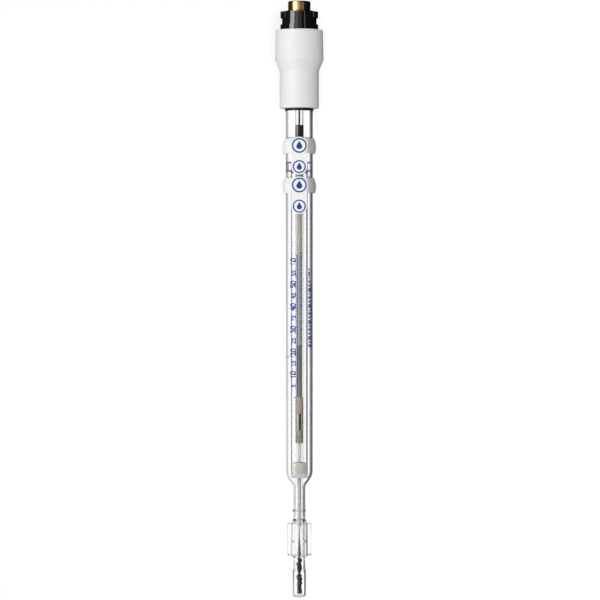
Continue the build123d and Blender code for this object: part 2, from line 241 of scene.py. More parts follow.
def glass(name, left, right, rim=(0.4, 0.6), ior=1.47, shade=0.97, frost=None, seals=(), webs=(), dry_above=None):
    """Clear glass that lets the lamps' light through, with all lengths in mm.

    Left and right are the colours of painted shade on its wall where it is seen edge-on, on either side
    of the ports: lighter on the left, where the light comes from, and darker on the right. Rim says how
    edge-on the wall is seen where the painted shade begins and where it is full. Each of seals is a span of
    heights painted nearly black as shade, with a rim of its own. Each of webs is a span painted dark all
    over as shade, because it is seen through its whole breadth. Frost is a span of heights and one of radii
    where the glass is ground. Below dry_above liquid wets the wall, which leaves only WET_RIM of the painted
    edge shade."""
    material, tree, shader, output = new_material(name, IOR=ior, Transmission_Weight=1.0, Metallic=0.0)
    # Painted edge shade: the wall darkens where it is seen edge-on, less on the left, where the light comes from,
    # and more on the right
    facing = add(tree, "ShaderNodeLayerWeight", Blend=0.5).outputs["Facing"]
    side = ramp(tree, place(tree)["Across"], -1.0, 1.0)
    edge = colour_mix(tree, side, rgba(left), rgba(right))
    strength = ramp(tree, facing, *rim)
    if dry_above:
        dryness = ramp(tree, place(tree)["Height"], dry_above - 1.0, dry_above + 1.0, WET_RIM, 1.0)
        strength = math_node(tree, "MULTIPLY", strength, dryness)
    glass_and_painted_shade = colour_mix(tree, strength, rgba(GLASS_COLOUR), edge)
    # Painted shade: the seals go nearly black where they are seen edge-on, and the webs go dark all over
    for low, high, *painted_shade_rim in seals:
        here = between(tree, place(tree)["Height"], low, high, 0.2)
        dark = math_node(tree, "MULTIPLY", here, ramp(tree, facing, *painted_shade_rim))
        glass_and_painted_shade = colour_mix(tree, dark, glass_and_painted_shade, rgba(SEAL_PAINTED_SHADE))
    for low, high in webs:
        glass_and_painted_shade = colour_mix(tree, between(tree, place(tree)["Height"], low, high, 0.1), glass_and_painted_shade, rgba(WEB_PAINTED_SHADE))
    tree.links.new(glass_and_painted_shade, shader.inputs["Base Color"])
    roughness = mottle(tree, 300.0, 0.0, 0.01)
    if frost:
        here = place(tree)
        heights, radii = frost
        ground = math_node(tree, "MULTIPLY", between(tree, here["Height"], *heights, 0.1),
                           between(tree, here["Radius"], *radii, 0.05))
        grain = mottle(tree, 3000.0, 0.12, 0.3)
        roughness = math_node(tree, "MAXIMUM", roughness, math_node(tree, "MULTIPLY", ground, grain))
    tree.links.new(roughness, shader.inputs["Roughness"])
    clear = add(tree, "ShaderNodeBsdfTransparent", Color=rgba(shade))
    rays = add(tree, "ShaderNodeLightPath")
    either = tree.nodes.new("ShaderNodeMixShader")
    tree.links.new(rays.outputs["Is Shadow Ray"], either.inputs["Fac"])
    tree.links.new(shader.outputs[0], either.inputs[1])
    tree.links.new(clear.outputs[0], either.inputs[2])
    tree.links.new(either.outputs[0], output.inputs["Surface"])
    return material


FINE_GRAIN = 6000.0  # per metre
RELIEF_DEPTH = 0.05 * MM


def plain(name, colour, second, low, high, per_metre=900.0, relief=0.0, **inputs):
    """A moulded or cast finish whose colour and roughness wander a little."""
    material, tree, shader, _ = new_material(name, **inputs)
    patches = mottle(tree, per_metre, 0.0, 1.0)
    tree.links.new(colour_mix(tree, patches, rgba(colour), rgba(second)), shader.inputs["Base Color"])
    tree.links.new(mottle(tree, per_metre * 1.7, low, high), shader.inputs["Roughness"])
    if relief:
        bump(tree, shader, mottle(tree, FINE_GRAIN, 0.0, 1.0), relief, RELIEF_DEPTH)
    return material


SILICONE_SHADE_SPAN = (3.3, 4.6)  # mm to the right of the axis over which painted shade turns it greyer


def make_silicone():
    """White silicone, with painted shade that turns it greyer to the right of the axis."""
    material, tree, shader, _ = new_material("silicone", Specular_IOR_Level=0.35)
    patches = mottle(tree, 900.0, 0.0, 1.0)
    white = colour_mix(tree, patches, rgba(0.86), rgba((0.83, 0.84, 0.83)))
    # Painted shade: the right flank, away from the light, turns grey
    painted_shade = ramp(tree, place(tree)["Across"], *SILICONE_SHADE_SPAN)
    tree.links.new(colour_mix(tree, painted_shade, white, rgba((0.52, 0.53, 0.52))), shader.inputs["Base Color"])
    tree.links.new(mottle(tree, 1500.0, 0.45, 0.6), shader.inputs["Roughness"])
    bump(tree, shader, mottle(tree, FINE_GRAIN, 0.0, 1.0), 0.05, RELIEF_DEPTH)
    return material


GLASS_COLOUR = (0.99, 0.992, 0.995)
# Share of a glass's painted edge shade that is left where liquid wets the wall
WET_RIM = 0.25
# Painted shade of the seals and of the webs, where the glass is seen edge-on
SEAL_PAINTED_SHADE = (0.06, 0.06, 0.07)
WEB_PAINTED_SHADE = (0.04, 0.045, 0.045)
WEB_BOTTOM = UPPER_PORT - 2.2
WEB_TOP = UPPER_PORT + 2.2
ground_span = (CONE_BOTTOM, CONE_TOP)
# The two colours given to each glass are its painted edge shade: lighter on the left, where the light comes from,
# and darker on the right
clear_glass = glass("clear_glass", (0.66, 0.66, 0.68), (0.05, 0.05, 0.065), rim=(0.43, 0.55), ior=1.42,
                    frost=(ground_span, (CONE_TOP_RADIUS - 0.1, CONE_BOTTOM_RADIUS + 0.1)),
                    seals=[(FLARE_TOP + 2.4, FLARE_TOP + 3.2, 0.25, 0.6),
                           (CONE_BOTTOM - 0.6, CONE_BOTTOM + 0.6, 0.25, 0.6),
                           (WEB_BOTTOM - 0.1, WEB_TOP + 0.1, 0.5, 0.58)])
inner_glass = glass("inner_glass", (0.1, 0.1, 0.11), (0.02, 0.02, 0.026), rim=(0.48, 0.6), ior=1.42,
                    seals=[(WEB_BOTTOM - 0.8, WEB_TOP + 0.2, 0.35, 0.55)],
                    webs=[(WEB_BOTTOM - 0.1, WEB_BOTTOM + 0.5), (WEB_TOP - 0.5, WEB_TOP + 0.1)])
stem_glass = glass("stem_glass", (0.6, 0.6, 0.63), (0.04, 0.04, 0.05), rim=(0.4, 0.55), ior=1.36,
                   dry_above=LOWER_PORT)
sensing_glass = glass("sensing_glass", (0.6, 0.6, 0.62), (0.05, 0.05, 0.06), rim=(0.4, 0.55),
                      seals=[(-1.0, 0.8, 0.3, 0.7), (11.6, 12.4, 0.4, 0.6)])
ground_glass = glass("ground_glass", (0.75, 0.75, 0.78), (0.65, 0.65, 0.7), rim=(0.5, 0.9), ior=1.3,
                     frost=(ground_span, (CONE_TOP_RADIUS, CONE_BOTTOM_RADIUS + 0.2)),
                     webs=[(SLEEVE_BOTTOM - 0.2, SLEEVE_BOTTOM + 0.15), (SLEEVE_TOP - 0.15, SLEEVE_TOP + 0.2)])
core_glass = glass("core_glass", (0.8, 0.8, 0.8), (0.4, 0.4, 0.4), rim=(0.4, 0.8), ior=1.25)
white_plastic = plain("white_plastic", 0.79, 0.77, 0.5, 0.6, relief=0.05, Specular_IOR_Level=0.35)
black_plastic = plain("black_plastic", 0.004, 0.007, 0.07, 0.13, relief=0.04, Coat_Weight=0.6, Coat_Roughness=0.06)
black_sheath = plain("black_sheath", 0.006, 0.012, 0.3, 0.45)
black_rubber = plain("black_rubber", 0.004, 0.007, 0.4, 0.55, Specular_IOR_Level=0.3)
silicone = make_silicone()
resin = plain("potting_resin", 0.03, 0.04, 0.3, 0.5)
insulator = plain("insulator", 0.7, 0.66, 0.4, 0.5)
cream = plain("cream_filling", (0.92, 0.9, 0.84), (0.82, 0.8, 0.7), 0.5, 0.6)
porous = plain("porous_plug", (0.8, 0.77, 0.7), (0.7, 0.67, 0.58), 0.6, 0.7, relief=0.15)
cement = plain("plug_cement", (0.86, 0.88, 0.9), (0.78, 0.8, 0.83), 0.6, 0.7, relief=0.3)
silver = plain("silver", (0.4, 0.4, 0.4), (0.25, 0.25, 0.26), 0.25, 0.4, Metallic=1.0)


def make_brass():
    """Turned brass: fine rings round the axis and a slightly brown tarnish."""
    material, tree, shader, _ = new_material("brass", Metallic=1.0)
    tarnish = mottle(tree, 500.0, 0.0, 1.0)
    tree.links.new(colour_mix(tree, tarnish, rgba((0.72, 0.49, 0.2)), rgba((0.62, 0.4, 0.15))),
                   shader.inputs["Base Color"])
    tree.links.new(mottle(tree, 500.0, 0.23, 0.27), shader.inputs["Roughness"])
    rings = math_node(tree, "SINE", math_node(tree, "MULTIPLY", place(tree)["Height"], 60.0))
    bump(tree, shader, rings, 0.02, 0.002 * MM)
    return material


def streaked(name, colour, second, marks=(), **inputs):
    """A drawn plastic core piece, streaked along its length, with narrow dark lines at some angles round it.

    Each mark is the angle of its middle and its half width in degrees, and its colour."""
    material, tree, shader, _ = new_material(name, **inputs)
    here = place(tree)
    around = add(tree, "ShaderNodeCombineXYZ", X=math_node(tree, "MULTIPLY", here["Angle"], 1.5),
                 Y=math_node(tree, "MULTIPLY", here["Height"], 0.08))
    streaks = add(tree, "ShaderNodeTexNoise", Vector=around.outputs["Vector"], Scale=4.0, Detail=4.0)
    share = ramp(tree, streaks.outputs["Fac"], 0.35, 0.65)
    painted = colour_mix(tree, share, rgba(colour), rgba(second))
    for middle, half_width, dark in marks:
        line = between(tree, here["Angle"], math.radians(middle - half_width), math.radians(middle + half_width),
                       math.radians(3.0))
        painted = colour_mix(tree, line, painted, rgba(dark))
    tree.links.new(painted, shader.inputs["Base Color"])
    tree.links.new(mottle(tree, 1500.0, 0.3, 0.5), shader.inputs["Roughness"])
    return material


def make_shrink_material():
    """Black heat-shrink sleeve with a painted grey sheen on its left side, where the light falls."""
    material, tree, shader, _ = new_material("shrink_sleeve", Specular_IOR_Level=0.35)
    # Painted sheen: grey on the sleeve's left side, where the light falls
    painted_sheen_side = between(tree, place(tree)["Angle"], math.radians(-120), math.radians(-17), math.radians(4))
    wander = mottle(tree, 900.0, 0.0, 1.0)
    grey = colour_mix(tree, wander, rgba(0.3), rgba((0.26, 0.26, 0.24)))
    black = colour_mix(tree, wander, rgba(0.006), rgba(0.014))
    tree.links.new(colour_mix(tree, painted_sheen_side, black, grey), shader.inputs["Base Color"])
    tree.links.new(mottle(tree, 1500.0, 0.35, 0.5), shader.inputs["Roughness"])
    return material


def make_chloride():
    """Rough black silver chloride with a grey sheen on its high places."""
    material, tree, shader, _ = new_material("black_chloride", Specular_IOR_Level=0.6)
    lumps = mottle(tree, 1800.0, 0.0, 1.0)
    tree.links.new(colour_mix(tree, lumps, rgba(0.003), rgba(0.03)), shader.inputs["Base Color"])
    tree.links.new(mottle(tree, 3000.0, 0.25, 0.5), shader.inputs["Roughness"])
    bump(tree, shader, mottle(tree, 5000.0, 0.0, 1.0), 0.8, 0.1 * MM)
    return material


def make_lead_rod_material():
    """Pale beige rod that turns a little yellow-green towards its foot and dark where it leaves the plug."""
    material, tree, shader, _ = new_material("lead_rod")
    height = place(tree)["Height"]
    bottom, top, _ = (value / MM for value in reach("lead_rod"))
    wander = mottle(tree, 700.0, 0.0, 1.0)
    beige = colour_mix(tree, wander, rgba((0.68, 0.65, 0.55)), rgba((0.56, 0.52, 0.42)))
    green = ramp(tree, height, bottom, bottom + 5.0, 0.7, 0.0)
    painted = colour_mix(tree, green, beige, rgba((0.62, 0.64, 0.36)))
    disc_bottom = reach("plug_disc")[0] / MM
    dark = between(tree, height, disc_bottom - 0.6, disc_bottom + 1.6, 0.3)
    side = between(tree, place(tree)["Angle"], math.radians(0), math.radians(60), math.radians(8))
    painted = colour_mix(tree, math_node(tree, "MULTIPLY", dark, side), painted, rgba((0.2, 0.17, 0.08)))
    tree.links.new(painted, shader.inputs["Base Color"])
    tree.links.new(mottle(tree, 1500.0, 0.35, 0.5), shader.inputs["Roughness"])
    return material


def make_print_material():
    """Blue printing ink, a little uneven."""
    return plain("blue_print", (0.005, 0.042, 0.24), (0.01, 0.06, 0.3), 0.3, 0.4, per_metre=2500.0,
                 Specular_IOR_Level=0.15)


brass = make_brass()
shrink_finish = make_shrink_material()
chloride = make_chloride()
lead_finish = make_lead_rod_material()
ink = make_print_material()
khaki = streaked("khaki_plastic", (0.64, 0.6, 0.5), (0.46, 0.43, 0.34), marks=[(70, 12, (0.3, 0.29, 0.23))])
olive = streaked("olive_plastic", (0.34, 0.3, 0.21), (0.2, 0.17, 0.11),
                 marks=[(55, 17, (0.012, 0.012, 0.01)), (-75, 10, (0.1, 0.09, 0.06))])
beige = streaked("beige_plastic", (0.56, 0.51, 0.42), (0.42, 0.36, 0.27), marks=[(70, 14, (0.16, 0.13, 0.1))])
striped = streaked("striped_plastic", (0.62, 0.62, 0.5), (0.52, 0.52, 0.42),
                   marks=[(middle, half_width, (0.012, 0.012, 0.006))
                          for middle, half_width in ((-62, 9), (10, 16), (62, 9), (160, 11), (-130, 11))])
grey_plastic = streaked("grey_plastic", (0.42, 0.43, 0.35), (0.28, 0.28, 0.2), marks=[(40, 5, (0.16, 0.15, 0.1))])

finishes = {
    "glass_body": clear_glass,
    "inner_tube": inner_glass,
    "stem_tube": stem_glass,
    "ground_sleeve": ground_glass,
    "membrane_tip": sensing_glass,
    "core_tube": core_glass,
    "head_shell": white_plastic,
    "connector_collar": black_plastic,
    "contact_ring": brass,
    "centre_contact": brass,
    "contact_insulator": insulator,
    "ring_lead": black_sheath,
    "head_potting": resin,
    "head_seal": black_rubber,
    "upper_closure": silicone,
    "lower_closure": silicone,
    "signal_lead": black_sheath,
    "shrink_sleeve": shrink_finish,
    "core_insulation": khaki,
    "core_screen": olive,
    "splice_sleeve": beige,
    "reference_cartridge": striped,
    "cartridge_plug": grey_plastic,
    "core_filling": cream,
    "lead_rod": lead_finish,
    "junction_plug": porous,
    "plug_disc": cement,
    "element_wire": silver,
    "sensing_element": chloride,
}
for name, finish in finishes.items():
    for material_slot in nodes[name].material_slots:
        material_slot.material = finish


# Modelling helpers. Pieces are modelled upright on the electrode's axis, in metres, and laid down at the end.

def deselect():
    """Leave edit mode with nothing selected."""
    if bpy.context.mode != "OBJECT":
        bpy.ops.object.mode_set(mode="OBJECT")
    bpy.ops.object.select_all(action="DESELECT")


def bend(centre, radius, start, stop, steps=8):
    """Points on an arc in the plane of radius and height, with its angles in degrees."""
    angles = [math.radians(start + (stop - start) * step / steps) for step in range(steps + 1)]
    return [(centre[0] + radius * math.cos(angle), centre[1] + radius * math.sin(angle)) for angle in angles]


def draw_line(name, points):
    """A new object in edit mode: a chain of edges through points given as radius and height in mm."""
    deselect()
    bpy.ops.mesh.primitive_plane_add(size=MM)
    bpy.context.object.name = name
    bpy.ops.object.mode_set(mode="EDIT")
    bpy.ops.mesh.merge(type="CENTER")
    (radius, height), *rest_of_line = points
    bpy.ops.transform.translate(value=(radius * MM, 0, height * MM))
    for next_radius, next_height in rest_of_line:
        step = ((next_radius - radius) * MM, 0, (next_height - height) * MM)
        bpy.ops.mesh.extrude_region_move(TRANSFORM_OT_translate={"value": step})
        radius, height = next_radius, next_height
    return bpy.context.object


def lay_down(piece, body, finish, smooth=30, replaced=()):
    """Put an upright piece in its place on the lying electrode and give it its finish."""
    deselect()
    piece.select_set(True)
    bpy.context.view_layer.objects.active = piece
    piece.matrix_world = rest @ piece.matrix_world
    bpy.ops.object.transform_apply(location=True, rotation=True, scale=True)
    if smooth:
        bpy.ops.object.shade_smooth_by_angle(angle=math.radians(smooth))
    piece.data.materials.clear()
    piece.data.materials.append(finish)
    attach(piece, body)
    if replaced:
        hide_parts(*replaced)
    return piece


def apply(piece, kind, **settings):
    """Add a modifier and apply it."""
    deselect()
    piece.select_set(True)
    bpy.context.view_layer.objects.active = piece
    modifier = piece.modifiers.new(kind.lower(), kind)
    for name, value in settings.items():
        setattr(modifier, name, value)
    bpy.ops.object.modifier_apply(modifier=modifier.name)


def turned(name, outline, closed=False, steps=160):
    """An outline of (radius, height) in mm, spun about the axis. A closed outline ends where it starts."""
    points = outline + outline[:1] if closed else outline
    piece = draw_line(name, points)
    bpy.ops.mesh.select_all(action="SELECT")
    bpy.ops.mesh.remove_doubles(threshold=0.0005 * MM)
    bpy.ops.mesh.select_all(action="SELECT")
    bpy.ops.mesh.spin(steps=steps, angle=math.tau, center=(0, 0, 0), axis=(0, 0, 1))
    bpy.ops.mesh.select_all(action="SELECT")
    bpy.ops.mesh.remove_doubles(threshold=0.0005 * MM)
    bpy.ops.mesh.normals_make_consistent(inside=False)
    bpy.ops.object.mode_set(mode="OBJECT")
    return piece


def drill(piece, radius, height, angle):
    """A round hole from the axis outwards. Its angle is 0 in front, where the ports are."""
    deselect()
    turn = math.radians(angle)
    reach_out = 5 * MM
    place_of_hole = (math.sin(turn) * reach_out, -math.cos(turn) * reach_out, height * MM)
    bpy.ops.mesh.primitive_cylinder_add(vertices=48, radius=radius * MM, depth=2 * reach_out,
                                        location=place_of_hole, rotation=(math.radians(90), 0, turn))
    cutter = bpy.context.object
    apply(piece, "BOOLEAN", operation="DIFFERENCE", object=cutter, solver="EXACT")
    bpy.data.objects.remove(cutter)


# Glass

def shoulder(top_radius, bottom_radius, upper_share=0.65, steps=12):
    """Two tangent arcs down the shoulder, upright at both ends."""
    length = SHOULDER_TOP - NECK_TOP
    narrowing = top_radius - bottom_radius
    both = (narrowing ** 2 + length ** 2) / (2 * narrowing)
    upper = upper_share * both
    lower = both - upper
    turn = math.degrees(math.atan2(length / both, 1 - narrowing / both))
    convex = bend((top_radius - upper, SHOULDER_TOP), upper, 0, -turn, steps)
    hollow = bend((bottom_radius + lower, NECK_TOP), lower, 180 - turn, 180, steps)
    return convex + hollow[1:]


def make_glass_body():
    """Outer tube, shoulder, neck with its bead, flare, ground cone and tip tube, blown as one piece."""
    bottom, top, _ = (value / MM for value in reach("glass_body"))
    bead = FLARE_TOP + 2.8
    bead_radius = 0.4
    flare_length = FLARE_TOP - CONE_TOP
    widening = CONE_TOP_RADIUS - NECK_RADIUS
    flare = [(NECK_RADIUS + widening * (1 - share) ** 2.5, CONE_TOP + flare_length * share)
             for share in (0, 0.1, 0.2, 0.3, 0.4, 0.5, 0.65, 0.8, 1)]
    seal_bottom = CONE_BOTTOM - 0.6
    seal_top = CONE_BOTTOM + 0.6
    fillet = 0.18
    outside = [(NECK_BORE, bottom), (NECK_RADIUS, bottom), (NECK_RADIUS, CONE_BOTTOM)]
    outside += bend((CONE_BOTTOM_RADIUS - 0.2, CONE_BOTTOM + 0.2), 0.2, -90, 0, 4)
    outside += flare
    outside += bend((NECK_RADIUS, bead), bead_radius, -90, 90, 12)
    outside += list(reversed(shoulder(SHAFT_RADIUS, NECK_RADIUS)))
    outside += bend((SHAFT_RADIUS - 0.3, top - 0.3), 0.3, 0, 90, 4)
    inside = bend((SHAFT_BORE + 0.3, top - 0.3), 0.3, 90, 180, 4)
    inside += shoulder(SHAFT_BORE, NECK_BORE)
    inside += bend((NECK_BORE - fillet, seal_top + fillet), fillet, 0, -90, 4)
    inside += [(STEM_RADIUS - FUSED, seal_top), (STEM_RADIUS - FUSED, seal_bottom)]
    inside += bend((NECK_BORE - fillet, seal_bottom - fillet), fillet, 90, 0, 4)
    body = turned("glass_body_blown", outside + inside, closed=True)
    for port in (UPPER_PORT, LOWER_PORT):
        drill(body, PORT_RADIUS, port, 0)
    for side in (-90, 90):
        drill(body, 0.6, CONE_BOTTOM + 6.6, side)
    lay_down(body, "electrode", clear_glass, replaced=["glass_body"])


def make_inner_tube():
    """Inner chamber's tube, flared out into the two webs that close the ring chamber around it."""
    bottom, top, _ = (value / MM for value in reach("inner_tube"))
    web = 0.7
    lower_web = top - 4.4
    fillet = 0.7
    rim = SHAFT_BORE + FUSED
    outline = [(INNER_BORE, bottom), (INNER_RADIUS, bottom)]
    outline += bend((INNER_RADIUS + fillet, lower_web - fillet), fillet, 180, 90)
    outline += [(rim, lower_web), (rim, lower_web + web)]
    outline += bend((INNER_RADIUS + fillet, lower_web + web + fillet), fillet, 270, 180)
    outline += bend((INNER_RADIUS + fillet, top - web - fillet), fillet, 180, 90)
    outline += [(rim, top - web), (rim, top), (STEM_RADIUS - FUSED, top), (STEM_RADIUS - FUSED, top - web)]
    outline += bend((INNER_BORE - fillet, top - web - fillet), fillet, 90, 0)
    inner = turned("inner_tube_blown", outline, closed=True)
    drill(inner, PORT_RADIUS, UPPER_PORT, 0)
    lay_down(inner, "electrode", inner_glass, replaced=["inner_tube"])


def make_stem_tube():
    """Thin tube on the axis that holds the core."""
    bottom, top, _ = (value / MM for value in reach("stem_tube"))
    wall = STEM_RADIUS - STEM_BORE
    outline = [(STEM_BORE, bottom), (STEM_RADIUS, bottom)]
    outline += bend((STEM_RADIUS - wall / 2, top - wall / 2), wall / 2, 0, 180, 6)
    lay_down(turned("stem_tube_drawn", outline, closed=True, steps=96), "electrode", stem_glass,
             replaced=["stem_tube"])


def make_membrane_tip():
    """Closed end of sensing glass, thicker at its foot, with the welding bead on top."""
    _, top, bead_radius = (value / MM for value in reach("membrane_tip"))
    radius = 2.9
    corner = 1.3
    wall = 0.4
    foot = 0.55
    bead = top - 0.35
    bore = radius - wall
    outline = [(0, FUSED)] + bend((radius - corner, corner + FUSED), corner, -90, 0, 12)
    outline += [(radius, bead - 0.35)] + bend((bead_radius - 0.35, bead), 0.35, -60, 60, 8)
    outline += [(NECK_RADIUS, top), (bore, top)]
    outline += bend((bore - 0.9, foot + 0.9), 0.9, 0, -90, 10) + [(0, foot)]
    lay_down(turned("membrane_tip_blown", outline), "electrode", sensing_glass,
             replaced=["membrane_tip"])


def make_ground_sleeve():
    """Thick sleeve with a ground bore and fire-polished edges."""
    bottom, top, radius = (value / MM for value in reach("ground_sleeve"))
    radius -= FUSED
    slope = (CONE_BOTTOM_RADIUS - CONE_TOP_RADIUS) / (CONE_TOP - CONE_BOTTOM)
    gap = 0.03
    bore_bottom = CONE_BOTTOM_RADIUS + gap - slope * (bottom - CONE_BOTTOM)
    bore_top = CONE_BOTTOM_RADIUS + gap - slope * (top - CONE_BOTTOM)
    chamfer = 0.45
    polish = 0.15
    outline = bend((bore_bottom + polish, bottom + polish), polish, 180, 270, 4)
    outline += [(radius - chamfer, bottom), (radius, bottom + chamfer)]
    outline += bend((radius - polish, top - polish), polish, 0, 90, 4)
    outline += bend((bore_top + polish, top - polish), polish, 90, 180, 4)
    lay_down(turned("ground_sleeve_cut", outline, closed=True), "ground_sleeve", ground_glass,
             replaced=["ground_sleeve"])


def make_core_tube():
    """Short thin tube around the pale filling, below the cartridge."""
    bottom, top, radius = (value / MM for value in reach("core_tube"))
    _, _, filling_radius = (value / MM for value in reach("core_filling"))
    bore = filling_radius - 2 * FUSED
    outline = [(bore, bottom), (radius, bottom), (radius, top), (bore, top)]
    lay_down(turned("core_tube_drawn", outline, closed=True, steps=64), "electrode", core_glass,
             replaced=["core_tube"])


# Core pieces that lie against the glass, and the sensing element

def make_close_core_piece(node, finish, pinch=0.12):
    """A core piece with softly rounded ends that wets the bore, so that it fills the stem tube's width."""
    bottom, top, _ = (value / MM for value in reach(node))
    radius = STEM_BORE + FUSED / 4
    outline = [(0, bottom)] + bend((radius - pinch, bottom + pinch), pinch, -90, 0, 5)
    outline += bend((radius - pinch, top - pinch), pinch, 0, 90, 5) + [(0, top)]
    lay_down(turned(node + "_drawn", outline, steps=96), "electrode", finish, replaced=[node])


LUMP_SIZE = 1.3
LUMP_HEIGHT = 0.55
ELEMENT_TWIST = 300  # degrees
ELEMENT_FLATNESS = 0.78


def make_sensing_element():
    """Two rough, twisted lobes of black silver chloride."""
    bottom, top, radius = (value / MM for value in reach("sensing_element"))
    waist = 10.2
    foot = 1.0
    lobes = [(0, bottom), (foot, bottom + 0.15)]
    span = waist - bottom
    lobes += [(foot + (1.3 - foot) * math.sin(math.pi * share) ** 0.7, bottom + 0.15 + (span - 0.15) * share)
              for share in (0.08, 0.2, 0.35, 0.5, 0.65, 0.8, 0.92)]
    lobes += [(0.5, waist)]
    span = top - waist
    lobes += [(0.5 + (radius - 0.4) * math.sin(math.pi * share) ** 0.6, waist + span * share)
              for share in (0.12, 0.28, 0.45, 0.62, 0.78, 0.9)]
    lobes += [(0.3, top - 0.1), (0, top)]
    element = turned("sensing_element_cast", lobes, steps=40)
    deselect()
    element.select_set(True)
    bpy.context.view_layer.objects.active = element
    bpy.ops.object.mode_set(mode="EDIT")
    bpy.ops.mesh.select_all(action="SELECT")
    bpy.ops.mesh.subdivide(number_cuts=2)
    bpy.ops.transform.resize(value=(1.0, ELEMENT_FLATNESS, 1.0))
    bpy.ops.object.mode_set(mode="OBJECT")
    apply(element, "SIMPLE_DEFORM", deform_method="TWIST", deform_axis="Z",
          angle=math.radians(ELEMENT_TWIST))
    for vertex in element.data.vertices:
        spot = vertex.co / (LUMP_SIZE * MM)
        vertex.co.x += LUMP_HEIGHT * MM * noise.fractal(spot, 1.0, 2.0, 3)
        vertex.co.y += LUMP_HEIGHT * MM * noise.fractal(spot + Vector((7, 3, 5)), 1.0, 2.0, 3)
    lay_down(element, "electrode", chloride, smooth=60, replaced=["sensing_element"])


# Print on the shaft: a plain blue scale with figures, and rows of dashes

PRINT_LIFT = 0.006  # mm between the glass and the ink
PRINT_THICKNESS = 0.012
PRINT_BOLD = 0.1  # how much the outline of a figure is widened
SCALE_BOTTOM = (TIP_ROW - 397) * PIXEL / MM
SCALE_TOP = (TIP_ROW - 254) * PIXEL / MM


def print_dash(angle, width, bottom, length):
    """One printed dash on the shaft, upright, width in mm round the glass. The angle is 0 in front."""
    radius = SHAFT_RADIUS + PRINT_LIFT
    dash = draw_line("dash", [(radius, bottom), (radius, bottom + length)])
    bpy.ops.mesh.select_all(action="SELECT")
    turn = width / radius
    bpy.ops.mesh.spin(steps=max(2, round(math.degrees(turn) / 4)), angle=turn, center=(0, 0, 0), axis=(0, 0, 1))
    bpy.ops.object.mode_set(mode="OBJECT")
    dash.rotation_euler = (0, 0, math.radians(angle - 90) - turn / 2)
    bpy.ops.object.transform_apply(location=True, rotation=True, scale=True)
    apply(dash, "SOLIDIFY", thickness=PRINT_THICKNESS * MM, offset=1.0)
    return dash


def repeat(piece, pitch, count):
    """Copies of a piece up the axis."""
    apply(piece, "ARRAY", count=count, use_relative_offset=False, use_constant_offset=True,
          constant_offset_displace=(0, 0, pitch * MM))


def join(pieces, name):
    """One object out of several."""
    deselect()
    for piece in pieces:
        piece.select_set(True)
    bpy.context.view_layer.objects.active = pieces[0]
    bpy.ops.object.join()
    pieces[0].name = name
    return pieces[0]


def print_figure(text, across_mm, height, size):
    """A printed figure that reads up the shaft, wrapped onto the glass in front."""
    deselect()
    bpy.ops.object.text_add(location=(0, 0, 0))
    figure = bpy.context.object
    figure.data.body = text
    figure.data.size = size * MM
    figure.data.align_x = "CENTER"
    figure.data.align_y = "CENTER"
    figure.data.offset = PRINT_BOLD * MM
    bpy.ops.object.convert(target="MESH")
    bpy.ops.object.mode_set(mode="EDIT")
    bpy.ops.mesh.select_all(action="SELECT")
    bpy.ops.mesh.subdivide(number_cuts=2)
    bpy.ops.object.mode_set(mode="OBJECT")
    upright = Matrix(((0, -1, 0), (0, 0, -1), (1, 0, 0))).to_4x4()
    figure.matrix_world = Matrix.Translation((across_mm * MM, 0, height * MM)) @ upright
    bpy.ops.object.transform_apply(location=True, rotation=True, scale=True)
    radius = (SHAFT_RADIUS + PRINT_LIFT + PRINT_THICKNESS) * MM
    for vertex in figure.data.vertices:
        vertex.co.y = -math.sqrt(radius ** 2 - vertex.co.x ** 2)
    return figure


def make_scale():
    """The blue scale: fine, middle and long dashes, and a figure at each long one."""
    length = SCALE_TOP - SCALE_BOTTOM
    thin = 0.42
    pieces = []
    for pitch, width, middle in ((1.0, 0.5, -8.2), (5.0, 0.75, -9.4), (10.0, 1.0, -10.6)):
        dash = print_dash(middle, width, SCALE_BOTTOM - thin / 2, thin)
        repeat(dash, pitch, int(length // pitch) + 1)
        pieces.append(dash)
    rail = print_dash(-5.4, 0.3, SCALE_BOTTOM, int(length // 1.0))
    pieces.append(rail)
    for step in range(1, int(length // 10) + 1):
        pieces.append(print_figure(str(step * 10), -2.65, SCALE_BOTTOM + 10 * step, 3.5))
        pieces.append(print_figure(str(step * 10 - 5), -2.5, SCALE_BOTTOM + 10 * step - 5, 2.8))
    lay_down(join(pieces, "scale_print"), "electrode", ink, smooth=0)


def make_dash_rows():
    """Three rows of small dashes up the right of the shaft, over a thin cross rule."""
    rows = ((13.0, 236, 347, 0.5), (54.0, 262, 347, 0.85), (77.0, 273, 347, 1.5))
    dashes = ((0.0, 1.3), (1.9, 0.6), (3.1, 1.9), (5.6, 0.9))  # start and length in a repeat
    pitch = 7.1
    pieces = []
    for angle, top_row, bottom_row, width in rows:
        bottom = (TIP_ROW - bottom_row) * PIXEL / MM
        length = (bottom_row - top_row) * PIXEL / MM
        for start, dash_length in dashes:
            dash = print_dash(angle, width, bottom + start, dash_length)
            repeat(dash, pitch, int(length // pitch))
            pieces.append(dash)
    rule_height = (TIP_ROW - 357) * PIXEL / MM
    pieces.append(print_dash(38.0, 8.4, rule_height, 0.28))
    lay_down(join(pieces, "dash_rows_print"), "electrode", ink, smooth=0)


# The flat fronts of a closure, in mm: how far each lies before the axis, and its mark's radius
RING_FRONT = 7.8
RING_MARK_RADIUS = 3.3
RING_ABOVE_PORT = 9.35
TONGUE_FRONT = 7.55
TONGUE_MARK_RADIUS = 2.9


